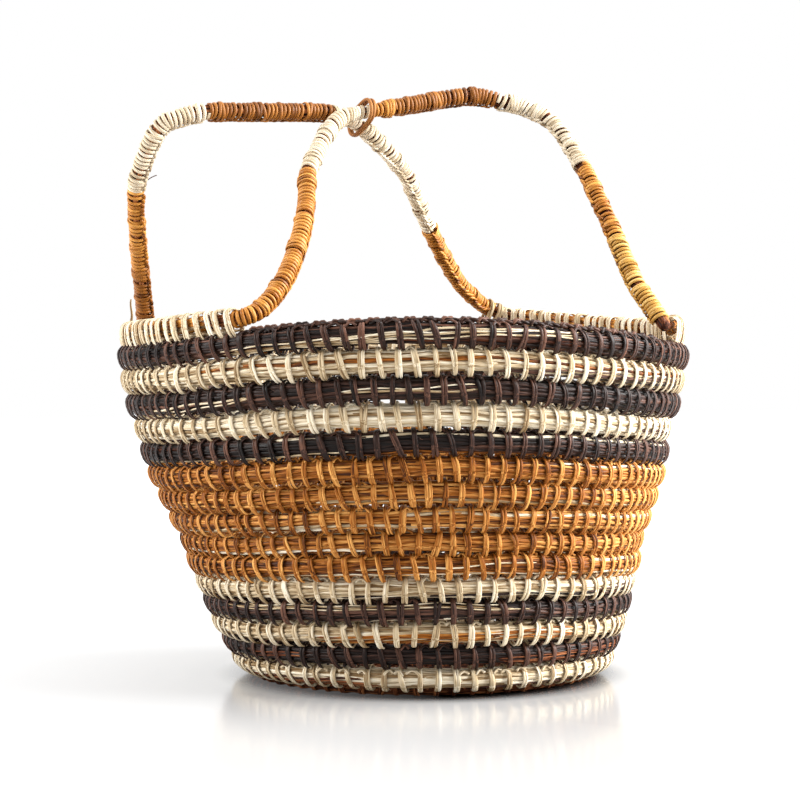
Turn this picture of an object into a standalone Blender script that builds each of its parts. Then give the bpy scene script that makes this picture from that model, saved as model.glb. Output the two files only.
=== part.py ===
"""Coiled market basket with two crossed rope handles.

One long grass bundle is wound into a flat base and then up the wall, turn on
turn.  Two handle ropes stand on the rim, lean in to cross over the middle and
are held together there by a cane keeper ring.  Units are metres, +Z is up, +X
runs along the handles' span and the origin is under the middle of the rim.
"""
import math

import bpy
from mathutils import Vector

MM = 0.001

# Wall: one outer radius for each turn of the coil, from the base up to the rim
COURSE_RADII = [r * MM for r in (133, 139, 145, 149.5, 153.5, 158.5, 161.5, 168,
                                 174, 180, 184, 187, 193, 196, 198.5)]
TOP_COURSE = len(COURSE_RADII) - 1
FIRST_COURSE_HEIGHT = 13.4 * MM
COURSE_RISE = 12.86 * MM
COURSE_RISE_GROWTH = 0.148 * MM
WALL_BUNDLE_RADIUS = 6.9 * MM
WALL_BUNDLE_GROWTH = 0.07 * MM
RIM_BUNDLE_RADIUS = 7.2 * MM
RIM_DROP = 0.8 * MM

# The rim is higher at the front and back than at the two lashed sides
SADDLE_HEIGHT = 15 * MM
SADDLE_ANGLE = math.radians(-104)
SADDLE_POWER = 2.6
SADDLE_SPREAD = 0.6

# Base: a flat coil around a small start disc, a little off the rim's centre
BASE_COILS = 7
BASE_PITCH = 13.1 * MM
BASE_OUTER_RADIUS = 114.6 * MM
BASE_BUNDLE_RADIUS = 6.3 * MM
BASE_SHIFT = Vector((13.1, -4.8, 0)) * MM
SHIFTED_COURSES = 11
START_DISC_RADIUS = 29.3 * MM
START_DISC_EDGE = 2.5 * MM

# Where each turn climbs on to the next one, at the back of the basket
STEP_START = math.radians(5)
STEP_END = math.radians(140)
END_GAP = 0.8 * MM
END_SEGMENT = math.radians(1)
TURN_SEGMENTS = 26
TAIL_END_RADIUS = 2.2 * MM
CLEARANCE = 0.3 * MM

# Handles and the ropes that they turn into along the rim
ROPE_RADIUS = 5.9 * MM
RIM_ROPE_CENTRE = 190 * MM
LEFT_ROPE_RISE = 16.3 * MM
RIGHT_ROPE_RISE = 20 * MM
LEFT_RIM_ROPE = (math.radians(153), math.radians(209.5))
RIGHT_RIM_ROPE = (math.radians(-38), math.radians(42.5))
RIM_ROPES = (("left", LEFT_RIM_ROPE, LEFT_ROPE_RISE), ("right", RIGHT_RIM_ROPE, RIGHT_ROPE_RISE))
RIM_ROPE_STEPS = 12
LASHING_WALL = 1.3 * MM
LASHING_GAP = 0.4 * MM
LASHING_OPENING = math.radians(50)
LASHING_INSET = math.radians(1.5)
RIM_STRAND_RADIUS = 1.4 * MM
FRONT_RIM_STRAND = (math.radians(-140), math.radians(-50))
BACK_RIM_STRAND = (math.radians(56), math.radians(64))

# Keeper ring: an oval loop of cane around both ropes where they cross
KEEPER_CANE_RADIUS = 1.8 * MM
KEEPER_PLAY = 1.1 * MM
KEEPER_FRONT = Vector((-24.3, -0.4, 392.2)) * MM
KEEPER_BACK = Vector((-29.7, 15.9, 384.7)) * MM
KEEPER_AXIS = Vector((0.96, 0.268, -0.08)).normalized()

# Centre line of each handle from its left foot to its right foot, in mm.  The front
# handle's left foot and the back handle's right foot run on into the rim ropes.
FOOT_RUN = math.radians(3)
FRONT_HANDLE = ((-152, -115, 246), (-138, -114, 252), (-118, -98, 271),
                (-101, -77, 297), (-90, -58, 321), (-82, -38, 345), (-73, -27, 358),
                (-62, -15, 373), (-48, -5, 386), (-31, -1, 391), (-5, 2, 396), (35, 7, 404),
                (57, 9, 407), (74, 7, 404), (92, 3, 400), (107, -4, 392), (115, -13, 381),
                (122, -36, 354), (126, -67, 317), (130, -103, 273), (135, -118, 256),
                (139, -132, 241))
BACK_HANDLE = ((-160, 104, 241), (-163, 92, 251), (-172, 67, 282), (-180, 43, 310),
               (-185.5, 23, 336), (-184, 10, 353), (-180, -1, 368), (-174, -7, 378),
               (-165, -9, 382), (-144, -8, 387), (-103, -3, 389), (-60, 5, 391),
               (-50, 8, 390), (-36, 13, 387), (-21, 20, 381), (-4, 30, 370), (18, 46, 354),
               (34, 63, 336), (58, 89, 308), (87, 117, 279), (105, 130, 267),
               (118, 139, 260), (129, 137.5, 254.5))
HANDLE_STEPS = 2

BLACK_BROWN = (0.035, 0.020, 0.016, 1)
CREAM = (0.62, 0.50, 0.32, 1)
ORANGE = (0.42, 0.17, 0.035, 1)
RUST = (0.22, 0.045, 0.015, 1)
OCHRE = (0.50, 0.26, 0.05, 1)
CANE = (0.25, 0.11, 0.04, 1)
# Wall colours from the base up to the rim
COURSE_COLOURS = ((CREAM, BLACK_BROWN, CREAM, BLACK_BROWN, CREAM) + (ORANGE,) * 5
                  + (BLACK_BROWN, CREAM, BLACK_BROWN, CREAM, BLACK_BROWN))


def clear_scene():
    for existing in list(bpy.data.objects):
        bpy.data.objects.remove(existing, do_unlink=True)


def collection_named(name):
    collection = bpy.data.collections.new(name)
    bpy.context.scene.collection.children.link(collection)
    return collection


def material_named(name, colour, roughness=0.75):
    material = bpy.data.materials.get(name)
    if material is None:
        material = bpy.data.materials.new(name)
        material.use_nodes = True
        shader = material.node_tree.nodes["Principled BSDF"]
        shader.inputs["Base Color"].default_value = colour
        shader.inputs["Roughness"].default_value = roughness
        shader.inputs["Metallic"].default_value = 0.0
        material.diffuse_color = colour
    return material


MATERIAL_NAMES = {BLACK_BROWN: "black_grass", CREAM: "cream_grass", ORANGE: "orange_grass",
                  RUST: "rust_grass", OCHRE: "ochre_rope", CANE: "brown_cane"}


def smooth(value):
    value = min(1.0, max(0.0, value))
    return value * value * (3 - 2 * value)


def saddle(angle):
    return SADDLE_HEIGHT * abs(math.cos(angle - SADDLE_ANGLE)) ** SADDLE_POWER


def bundle_radius(level):
    if level < 0:
        return BASE_BUNDLE_RADIUS
    if level == TOP_COURSE:
        return RIM_BUNDLE_RADIUS
    return WALL_BUNDLE_RADIUS + WALL_BUNDLE_GROWTH * level


def level_point(level, angle):
    """Centre of the bundle: level 0 is the first wall turn, -1 the outer base turn."""
    if level < 0:
        radius = BASE_OUTER_RADIUS + (level + 1) * BASE_PITCH
        height = BASE_BUNDLE_RADIUS
        shift = BASE_SHIFT
    else:
        radius = COURSE_RADII[level] - bundle_radius(level)
        share = level / TOP_COURSE
        height = FIRST_COURSE_HEIGHT + COURSE_RISE * level + COURSE_RISE_GROWTH * level ** 2
        height += saddle(angle) * share ** SADDLE_SPREAD
        if level == TOP_COURSE:
            height -= RIM_DROP
        shift = BASE_SHIFT * max(0.0, 1 - level / SHIFTED_COURSES)
    return shift + Vector((radius * math.cos(angle), radius * math.sin(angle), height))


def turn_angles(radius):
    """Even steps around one turn, with a short square segment at each end."""
    start = STEP_END - 2 * math.pi
    step = 2 * math.pi / TURN_SEGMENTS
    first = start + END_GAP / radius
    inner = [start + step * i for i in range(1, TURN_SEGMENTS)]
    return [first, first + END_SEGMENT] + inner + [STEP_END - END_SEGMENT, STEP_END]


def turn_points(level):
    """One turn that stays level and then climbs on to the next level at the back."""
    radius = level_point(level, 0).xy.length
    points = []
    for angle in turn_angles(radius):
        climb = smooth((angle - STEP_START) / (STEP_END - STEP_START))
        here = level_point(level, angle)
        points.append(here.lerp(level_point(level + 1, angle), climb))
    return points


def tail_points():
    """The last turn thins out in the wedge above the turn that climbs below it."""
    size = bundle_radius(TOP_COURSE)
    points, scales = [], []
    for angle in turn_angles(COURSE_RADII[TOP_COURSE]):
        centre = level_point(TOP_COURSE, angle)
        climb = smooth((angle - STEP_START) / (STEP_END - STEP_START))
        below = level_point(TOP_COURSE - 1, angle).lerp(centre, climb)
        floor = below.z + bundle_radius(TOP_COURSE - 1) + CLEARANCE
        thin = min(size, (centre.z + size - floor) / 2)
        if angle > STEP_START and thin < TAIL_END_RADIUS:
            break
        centre.z += size - thin
        points.append(centre)
        scales.append(thin / size)
    return points, scales


def start_points():
    """The thin start of the coil, in the wedge between the disc and the first turn."""
    gap = END_GAP / START_DISC_RADIUS
    points, scales = [], []
    for angle in turn_angles(START_DISC_RADIUS)[1:]:
        climb = smooth((angle - STEP_START) / (STEP_END - STEP_START))
        thin = min(BASE_BUNDLE_RADIUS, climb * BASE_PITCH / 2 - CLEARANCE)
        if thin < TAIL_END_RADIUS:
            continue
        radius = START_DISC_RADIUS + CLEARANCE + thin
        spoke = Vector((math.cos(angle - gap), math.sin(angle - gap), 0)) * radius
        points.append(BASE_SHIFT + spoke + Vector((0, 0, thin)))
        scales.append(thin / BASE_BUNDLE_RADIUS)
    return points, scales


def tube(name, points, radius, colour, collection, scales=None, cyclic=False):
    """A bundle, rope or strand: a poly curve with a round bevel and filled ends."""
    curve = bpy.data.curves.new(name, "CURVE")
    curve.dimensions = "3D"
    curve.bevel_depth = radius
    curve.bevel_resolution = 2
    curve.use_fill_caps = True
    spline = curve.splines.new("POLY")
    spline.points.add(len(points) - 1)
    spline.use_cyclic_u = cyclic
    for index, point in enumerate(points):
        spline.points[index].co = (*point, 1)
        spline.points[index].radius = scales[index] if scales else 1.0
    obj = bpy.data.objects.new(name, curve)
    collection.objects.link(obj)
    curve.materials.append(material_named(MATERIAL_NAMES[colour], colour))
    return obj


def make_base(collection):
    """Start disc and the flat turns around it, numbered from the middle out."""
    rise = 2 * BASE_BUNDLE_RADIUS
    disc_profile = ((0, rise), (START_DISC_RADIUS - START_DISC_EDGE, rise),
                    (START_DISC_RADIUS, rise - START_DISC_EDGE),
                    (START_DISC_RADIUS, START_DISC_EDGE),
                    (START_DISC_RADIUS - START_DISC_EDGE, 0), (0, 0))
    mesh = bpy.data.meshes.new("base_start_disc")
    edges = [(i, i + 1) for i in range(len(disc_profile) - 1)]
    mesh.from_pydata([(x, 0, z) for x, z in disc_profile], edges, [])
    disc = bpy.data.objects.new("base_start_disc", mesh)
    disc.location = BASE_SHIFT
    collection.objects.link(disc)
    screw = disc.modifiers.new("turned", "SCREW")
    screw.steps = 24
    screw.render_steps = 24
    screw.use_merge_vertices = True
    screw.merge_threshold = 0.00001
    screw.use_smooth_shade = False
    mesh.materials.append(material_named(MATERIAL_NAMES[RUST], RUST))
    points, scales = start_points()
    tube("base_coil_start", points, BASE_BUNDLE_RADIUS, RUST, collection, scales)
    for number in range(1, BASE_COILS + 1):
        level = number - BASE_COILS - 1
        tube(f"base_coil_{number}", turn_points(level), bundle_radius(level), RUST, collection)


def make_wall(collection):
    """Fifteen stacked turns; the last one is the rim and thins out at its end."""
    for level, colour in enumerate(COURSE_COLOURS):
        name = f"wall_coil_{level + 1:02d}"
        if level < TOP_COURSE:
            points = turn_points(level)
            tube(name, points, bundle_radius(level), colour, collection)
        else:
            points, scales = tail_points()
            tube(name, points, bundle_radius(level), colour, collection, scales)


def rim_point(angle, radius, rise):
    """A point over the top wall turn, on a given radius and height above its centre."""
    height = level_point(TOP_COURSE, angle).z + rise
    return Vector((radius * math.cos(angle), radius * math.sin(angle), height))


def rim_arc(span, radius, rise, steps):
    first, last = span
    return [rim_point(first + (last - first) * i / steps, radius, rise) for i in range(steps + 1)]


def catmull_rom(points, steps):
    """Smooth curve through the points, with a fixed number of steps between each two."""
    ends = [2 * points[0] - points[1], *points, 2 * points[-1] - points[-2]]
    curve = []
    for a, b, c, d in zip(ends, ends[1:], ends[2:], ends[3:]):
        for step in range(steps):
            t = step / steps
            curve.append(0.5 * (2 * b + (c - a) * t + (2 * a - 5 * b + 4 * c - d) * t ** 2
                                + (3 * b - a - 3 * c + d) * t ** 3))
    return curve + [points[-1]]


def foot_run(first, last, rise):
    """Two points on the rim that line a handle's foot up with its rim rope."""
    return [rim_point(angle, RIM_ROPE_CENTRE, rise) for angle in (first, last)]


def make_handles(collection):
    gap = END_GAP / RIM_ROPE_CENTRE
    left = LEFT_RIM_ROPE[1] + gap
    right = RIGHT_RIM_ROPE[1] + gap
    front = foot_run(left, left + FOOT_RUN, LEFT_ROPE_RISE)
    front += [Vector(point) * MM for point in FRONT_HANDLE]
    back = [Vector(point) * MM for point in BACK_HANDLE]
    back += foot_run(right + FOOT_RUN, right, RIGHT_ROPE_RISE)
    for name, points in (("front_handle", front), ("back_handle", back)):
        tube(name, catmull_rom(points, HANDLE_STEPS), ROPE_RADIUS, OCHRE, collection)
    for side, span, rise in RIM_ROPES:
        points = rim_arc(span, RIM_ROPE_CENTRE, rise, RIM_ROPE_STEPS)
        tube(f"{side}_rim_rope", points, ROPE_RADIUS, OCHRE, collection)


def saddle_section(name, guides):
    """Cross-section of a lashing: a thin arch over the rope, open underneath."""
    inner = ROPE_RADIUS + LASHING_GAP
    outer = inner + LASHING_WALL
    reach = math.pi - LASHING_OPENING
    angles = [-reach + 2 * reach * i / 8 for i in range(9)]
    ring = [(outer * math.sin(a), outer * math.cos(a)) for a in angles]
    ring += [(inner * math.sin(a), inner * math.cos(a)) for a in reversed(angles)]
    section = bpy.data.curves.new(name, "CURVE")
    section.dimensions = "2D"
    section.fill_mode = "NONE"
    spline = section.splines.new("POLY")
    spline.points.add(len(ring) - 1)
    spline.use_cyclic_u = True
    for index, (x, y) in enumerate(ring):
        spline.points[index].co = (x, y, 0, 1)
    guide = bpy.data.objects.new(name, section)
    guide.hide_render = True
    guide.display_type = "WIRE"
    guides.objects.link(guide)
    return guide


def make_lashings(collection, guides):
    """The wraps that hold a rim rope down, as one arched cover for each side."""
    section = saddle_section("lashing_section", guides)
    for side, span, rise in RIM_ROPES:
        name = f"{side}_lashing"
        inset = (span[0] + LASHING_INSET, span[1] - LASHING_INSET)
        curve = bpy.data.curves.new(name, "CURVE")
        curve.dimensions = "3D"
        curve.twist_mode = "Z_UP"
        curve.bevel_mode = "OBJECT"
        curve.bevel_object = section
        curve.use_fill_caps = True
        spline = curve.splines.new("POLY")
        points = rim_arc(inset, RIM_ROPE_CENTRE, rise, RIM_ROPE_STEPS)
        spline.points.add(len(points) - 1)
        for index, point in enumerate(points):
            spline.points[index].co = (*point, 1)
        curve.materials.append(material_named(MATERIAL_NAMES[CREAM], CREAM))
        collection.objects.link(bpy.data.objects.new(name, curve))


def make_rim_strands(collection):
    """The strand that runs along the top of the rim between the lashings."""
    rise = bundle_radius(TOP_COURSE) + RIM_STRAND_RADIUS + CLEARANCE
    radius = COURSE_RADII[TOP_COURSE] - bundle_radius(TOP_COURSE)
    for name, span, steps in (("front_rim_strand", FRONT_RIM_STRAND, 14),
                              ("back_rim_strand", BACK_RIM_STRAND, 3)):
        tube(name, rim_arc(span, radius, rise, steps), RIM_STRAND_RADIUS, BLACK_BROWN, collection)


def make_keeper(collection):
    """Oval loop round both ropes, standing square to the way that it can slip."""
    radius = ROPE_RADIUS + KEEPER_PLAY + KEEPER_CANE_RADIUS
    middle = (KEEPER_FRONT + KEEPER_BACK) / 2
    across = KEEPER_BACK - KEEPER_FRONT
    across -= across.project(KEEPER_AXIS)
    half = across.length / 2
    across.normalize()
    upright = across.cross(KEEPER_AXIS)
    points = []
    for step in range(24):
        angle = 2 * math.pi * step / 24
        side = math.copysign(half, math.cos(angle)) if abs(math.cos(angle)) > 1e-6 else 0.0
        points.append(across * (side + radius * math.cos(angle))
                      + upright * radius * math.sin(angle))
    keeper = tube("keeper_ring", points, KEEPER_CANE_RADIUS, CANE, collection, cyclic=True)
    keeper.location = middle


def main():
    clear_scene()
    basket = collection_named("market_basket")
    guides = collection_named("guides")
    make_base(basket)
    make_wall(basket)
    make_handles(basket)
    make_lashings(basket, guides)
    make_rim_strands(basket)
    make_keeper(basket)


main()
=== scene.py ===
"""Looks of a coiled market basket: grass bundles, stitches, wrapped handles, lashings.

Metres, +Z up. Every piece is swept along the same coil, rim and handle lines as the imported
model, whose driving dimensions are repeated below. A size without MM is in millimetres and
becomes metres where it is used, and a pair is the range of a random draw or, in a strand's
section, half its width and half its thickness.
"""
import math

import bpy
import numpy as np
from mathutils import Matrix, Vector


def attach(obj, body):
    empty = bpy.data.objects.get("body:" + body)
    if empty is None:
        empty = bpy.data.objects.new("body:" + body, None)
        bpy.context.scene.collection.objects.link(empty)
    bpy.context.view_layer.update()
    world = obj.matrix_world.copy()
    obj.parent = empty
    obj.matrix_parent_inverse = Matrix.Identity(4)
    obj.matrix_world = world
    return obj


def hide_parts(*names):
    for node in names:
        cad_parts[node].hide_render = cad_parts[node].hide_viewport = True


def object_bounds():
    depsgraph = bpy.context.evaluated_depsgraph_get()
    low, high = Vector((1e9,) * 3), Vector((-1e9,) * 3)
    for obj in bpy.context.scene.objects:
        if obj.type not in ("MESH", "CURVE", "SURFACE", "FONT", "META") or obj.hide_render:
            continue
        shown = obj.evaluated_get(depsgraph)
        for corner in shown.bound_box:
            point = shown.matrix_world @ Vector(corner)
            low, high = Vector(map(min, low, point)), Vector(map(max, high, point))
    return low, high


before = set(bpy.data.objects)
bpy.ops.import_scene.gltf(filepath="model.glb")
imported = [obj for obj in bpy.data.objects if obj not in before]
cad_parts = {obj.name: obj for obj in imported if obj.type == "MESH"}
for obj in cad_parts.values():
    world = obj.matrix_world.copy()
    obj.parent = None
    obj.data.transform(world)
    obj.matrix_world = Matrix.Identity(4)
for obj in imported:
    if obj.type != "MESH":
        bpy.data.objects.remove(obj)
CAD_LOW, CAD_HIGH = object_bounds()

MM = 0.001
DEGREE = math.pi / 180
TAU = 2 * math.pi

# Coil: one outer radius for each wall turn, from the base up to the rim
COURSE_RADII = [r * MM for r in (133, 139, 145, 149.5, 153.5, 158.5, 161.5, 168,
                                 174, 180, 184, 187, 193, 196, 198.5)]
TOP_COURSE = len(COURSE_RADII) - 1
FIRST_COURSE_HEIGHT = 13.4 * MM
COURSE_RISE = 12.86 * MM
COURSE_RISE_GROWTH = 0.148 * MM
WALL_BUNDLE_RADIUS = 6.9 * MM
WALL_BUNDLE_GROWTH = 0.07 * MM
RIM_BUNDLE_RADIUS = 7.2 * MM
RIM_DROP = 0.8 * MM
SADDLE_HEIGHT = 15 * MM
SADDLE_ANGLE = -104 * DEGREE
SADDLE_POWER = 2.6
SADDLE_SPREAD = 0.6
BASE_COILS = 7
BASE_PITCH = 13.1 * MM
BASE_OUTER_RADIUS = 114.6 * MM
BASE_BUNDLE_RADIUS = 6.3 * MM
BASE_SHIFT = np.array((13.1, -4.8, 0)) * MM
SHIFTED_COURSES = 11
STEP_START = 5 * DEGREE
STEP_END = 140 * DEGREE
TAIL_END_RADIUS = 2.2 * MM
CLEARANCE = 0.3 * MM

# Handles, rim ropes and keeper
ROPE_RADIUS = 5.9 * MM
RIM_ROPE_CENTRE = 190 * MM
LEFT_ROPE_RISE = 16.3 * MM
RIGHT_ROPE_RISE = 20 * MM
LEFT_RIM_ROPE = (153 * DEGREE, 209.5 * DEGREE)
RIGHT_RIM_ROPE = (-38 * DEGREE, 42.5 * DEGREE)
FRONT_RIM_STRAND = (-140 * DEGREE, -50 * DEGREE)
BACK_RIM_STRAND = (56 * DEGREE, 64 * DEGREE)
RIM_STRAND_RADIUS = 1.4 * MM
FOOT_RUN = 3 * DEGREE
FRONT_HANDLE = ((-152, -115, 246), (-138, -114, 252), (-118, -98, 271),
                (-101, -77, 297), (-90, -58, 321), (-82, -38, 345), (-73, -27, 358),
                (-62, -15, 373), (-48, -5, 386), (-31, -1, 391), (-5, 2, 396), (35, 7, 404),
                (57, 9, 407), (74, 7, 404), (92, 3, 400), (107, -4, 392), (115, -13, 381),
                (122, -36, 354), (126, -67, 317), (130, -103, 273), (135, -118, 256),
                (139, -132, 241))
BACK_HANDLE = ((-160, 104, 241), (-163, 92, 251), (-172, 67, 282), (-180, 43, 310),
               (-185.5, 23, 336), (-184, 10, 353), (-180, -1, 368), (-174, -7, 378),
               (-165, -9, 382), (-144, -8, 387), (-103, -3, 389), (-60, 5, 391),
               (-50, 8, 390), (-36, 13, 387), (-21, 20, 381), (-4, 30, 370), (18, 46, 354),
               (34, 63, 336), (58, 89, 308), (87, 117, 279), (105, 130, 267),
               (118, 139, 260), (129, 137.5, 254.5))
HOOP_CENTRE = np.array((-20, -10, 285)) * MM
KEEPER_CANE_RADIUS = 1.8 * MM
KEEPER_PLAY = 0.85 * MM
KEEPER_FRONT = np.array((-26.6, -0.4, 392.0)) * MM
KEEPER_BACK = np.array((-29.4, 15.8, 384.8)) * MM
KEEPER_MIDDLE = (KEEPER_FRONT + KEEPER_BACK) / 2
KEEPER_AXIS = np.array((0.987, 0.14, -0.075))
UP = np.array((0.0, 0.0, 1.0))

# Where the lashings stop on the handles, as numbers of points along the handle's whole line,
# and how far each lashing leans along the rope, in millimetres
LEFT_FOOT_END = 2.3
RIGHT_FOOT_START = 21.2
LEFT_LEAN = -2.6
RIGHT_LEAN = 2.2

# Painted light: the side of the basket facing the brightest softbox, where grass is painted paler
LIT_SIDE = np.array((0.93, -0.37, 0.0))
LIT_SIDE_START = 95 * MM
LIT_SIDE_SPAN = 80 * MM


# ---- lines and frames

def smooth(value):
    """0 to 1 with a gentle start and end."""
    value = np.clip(value, 0.0, 1.0)
    return value * value * (3 - 2 * value)


def unit(vectors):
    return vectors / np.linalg.norm(vectors, axis=-1, keepdims=True)


def bundle_radius(level):
    if level < 0:
        return BASE_BUNDLE_RADIUS
    if level == TOP_COURSE:
        return RIM_BUNDLE_RADIUS
    return WALL_BUNDLE_RADIUS + WALL_BUNDLE_GROWTH * level


def level_line(level, angles):
    """Centre of a level turn: 0 is the first wall turn, -1 the outer base turn."""
    if level < 0:
        radius = BASE_OUTER_RADIUS + (level + 1) * BASE_PITCH
        height = np.full_like(angles, BASE_BUNDLE_RADIUS)
        shift = BASE_SHIFT
    else:
        radius = COURSE_RADII[level] - bundle_radius(level)
        height = FIRST_COURSE_HEIGHT + COURSE_RISE * level + COURSE_RISE_GROWTH * level ** 2
        lift = SADDLE_HEIGHT * np.abs(np.cos(angles - SADDLE_ANGLE)) ** SADDLE_POWER
        height = height + lift * (level / TOP_COURSE) ** SADDLE_SPREAD
        if level == TOP_COURSE:
            height = height - RIM_DROP
        shift = BASE_SHIFT * max(0.0, 1 - level / SHIFTED_COURSES)
    return shift + np.stack([radius * np.cos(angles), radius * np.sin(angles), height], axis=1)


def turn_line(level, angles):
    """A turn stays level and then climbs on to the next one at the back."""
    climb = smooth((angles - STEP_START) / (STEP_END - STEP_START))[:, None]
    here = level_line(level, angles)
    return here + (level_line(min(level + 1, TOP_COURSE), angles) - here) * climb


def rim_tail(angles):
    """The last turn thins out in the wedge above the turn that climbs below it."""
    size = bundle_radius(TOP_COURSE)
    centre = level_line(TOP_COURSE, angles)
    below = turn_line(TOP_COURSE - 1, angles)[:, 2] + bundle_radius(TOP_COURSE - 1)
    thin = np.minimum(size, (centre[:, 2] + size - below - CLEARANCE) / 2)
    keep = (angles <= STEP_START) | (thin >= TAIL_END_RADIUS)
    centre[:, 2] += size - thin
    return centre[keep], thin[keep]


def rim_line(angles, radius, rise):
    """Points over the rim turn, on a given radius and height above its centre."""
    height = level_line(TOP_COURSE, angles)[:, 2] + rise
    return np.stack([radius * np.cos(angles), radius * np.sin(angles), height], axis=1)


def catmull_rom(points, steps):
    """Smooth curve through the points, with this many steps from each one to the next."""
    points = np.asarray(points, float)
    ends = np.concatenate([[2 * points[0] - points[1]], points, [2 * points[-1] - points[-2]]])
    curve = []
    for a, b, c, d in zip(ends, ends[1:], ends[2:], ends[3:]):
        for t in np.arange(steps) / steps:
            curve.append(0.5 * (2 * b + (c - a) * t + (2 * a - 5 * b + 4 * c - d) * t ** 2
                                + (3 * b - a - 3 * c + d) * t ** 3))
    return np.array(curve + [points[-1]])


def outward(angles, face, back):
    """Direction at each angle round a line: 0 is its face and 90 degrees its back."""
    angles = np.reshape(angles, (-1, 1))
    return np.cos(angles) * face + np.sin(angles) * back


class Track:
    """A centre line with a frame at every point.

    Along follows the line, back is the given direction made square to it, and face is square
    to both.
    """

    def __init__(self, points, back, radius):
        self.points = points
        self.along = unit(np.gradient(points, axis=0))
        back = np.broadcast_to(back, points.shape)
        back = back - np.sum(back * self.along, axis=1, keepdims=True) * self.along
        self.back = unit(back)
        self.face = np.cross(self.along, self.back)
        self.radius = np.broadcast_to(radius, len(points)).astype(float)
        steps = np.linalg.norm(np.diff(points, axis=0), axis=1)
        self.distance = np.concatenate([[0.0], np.cumsum(steps)])
        self.length = self.distance[-1]

    def at(self, places):
        """Centre, along, back, face and radius at one or more distances."""
        places = np.atleast_1d(places)
        rows = []
        for values in (self.points, self.along, self.back, self.face):
            rows.append(np.stack([np.interp(places, self.distance, values[:, i])
                                  for i in range(3)], axis=1))
        centre, along, back, face = rows
        return (centre, unit(along), unit(back), unit(face),
                np.interp(places, self.distance, self.radius)[:, None])

    def around(self, places, angles, lift):
        """Points on the bundle's skin: angle 0 faces out and 90 degrees faces back."""
        centre, _, back, face, radius = self.at(places)
        reach = radius + np.asarray(lift).reshape(-1, 1)
        return centre + reach * outward(angles, face, back)


WAVE_SHARES = (0.55, 1.0, 1.9)
WAVE_HEIGHT = (0.3, 0.6)


def wave(places, rng, length):
    """Smooth random wander of about -1 to 1 along a line."""
    total = np.zeros_like(places)
    for share in WAVE_SHARES:
        phase = places / (length * share) + rng.random()
        total += np.sin(TAU * phase) * rng.uniform(*WAVE_HEIGHT)
    return total


# ---- mesh building

def add_object(name, data):
    """A new object, linked to the scene."""
    made = bpy.data.objects.new(name, data)
    bpy.context.scene.collection.objects.link(made)
    return made


# Tone of a strand where none is given, from 0 (dark) to 1 (light)
MIDDLE_TONE = 0.5
TONE_SPREAD = 0.17


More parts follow.
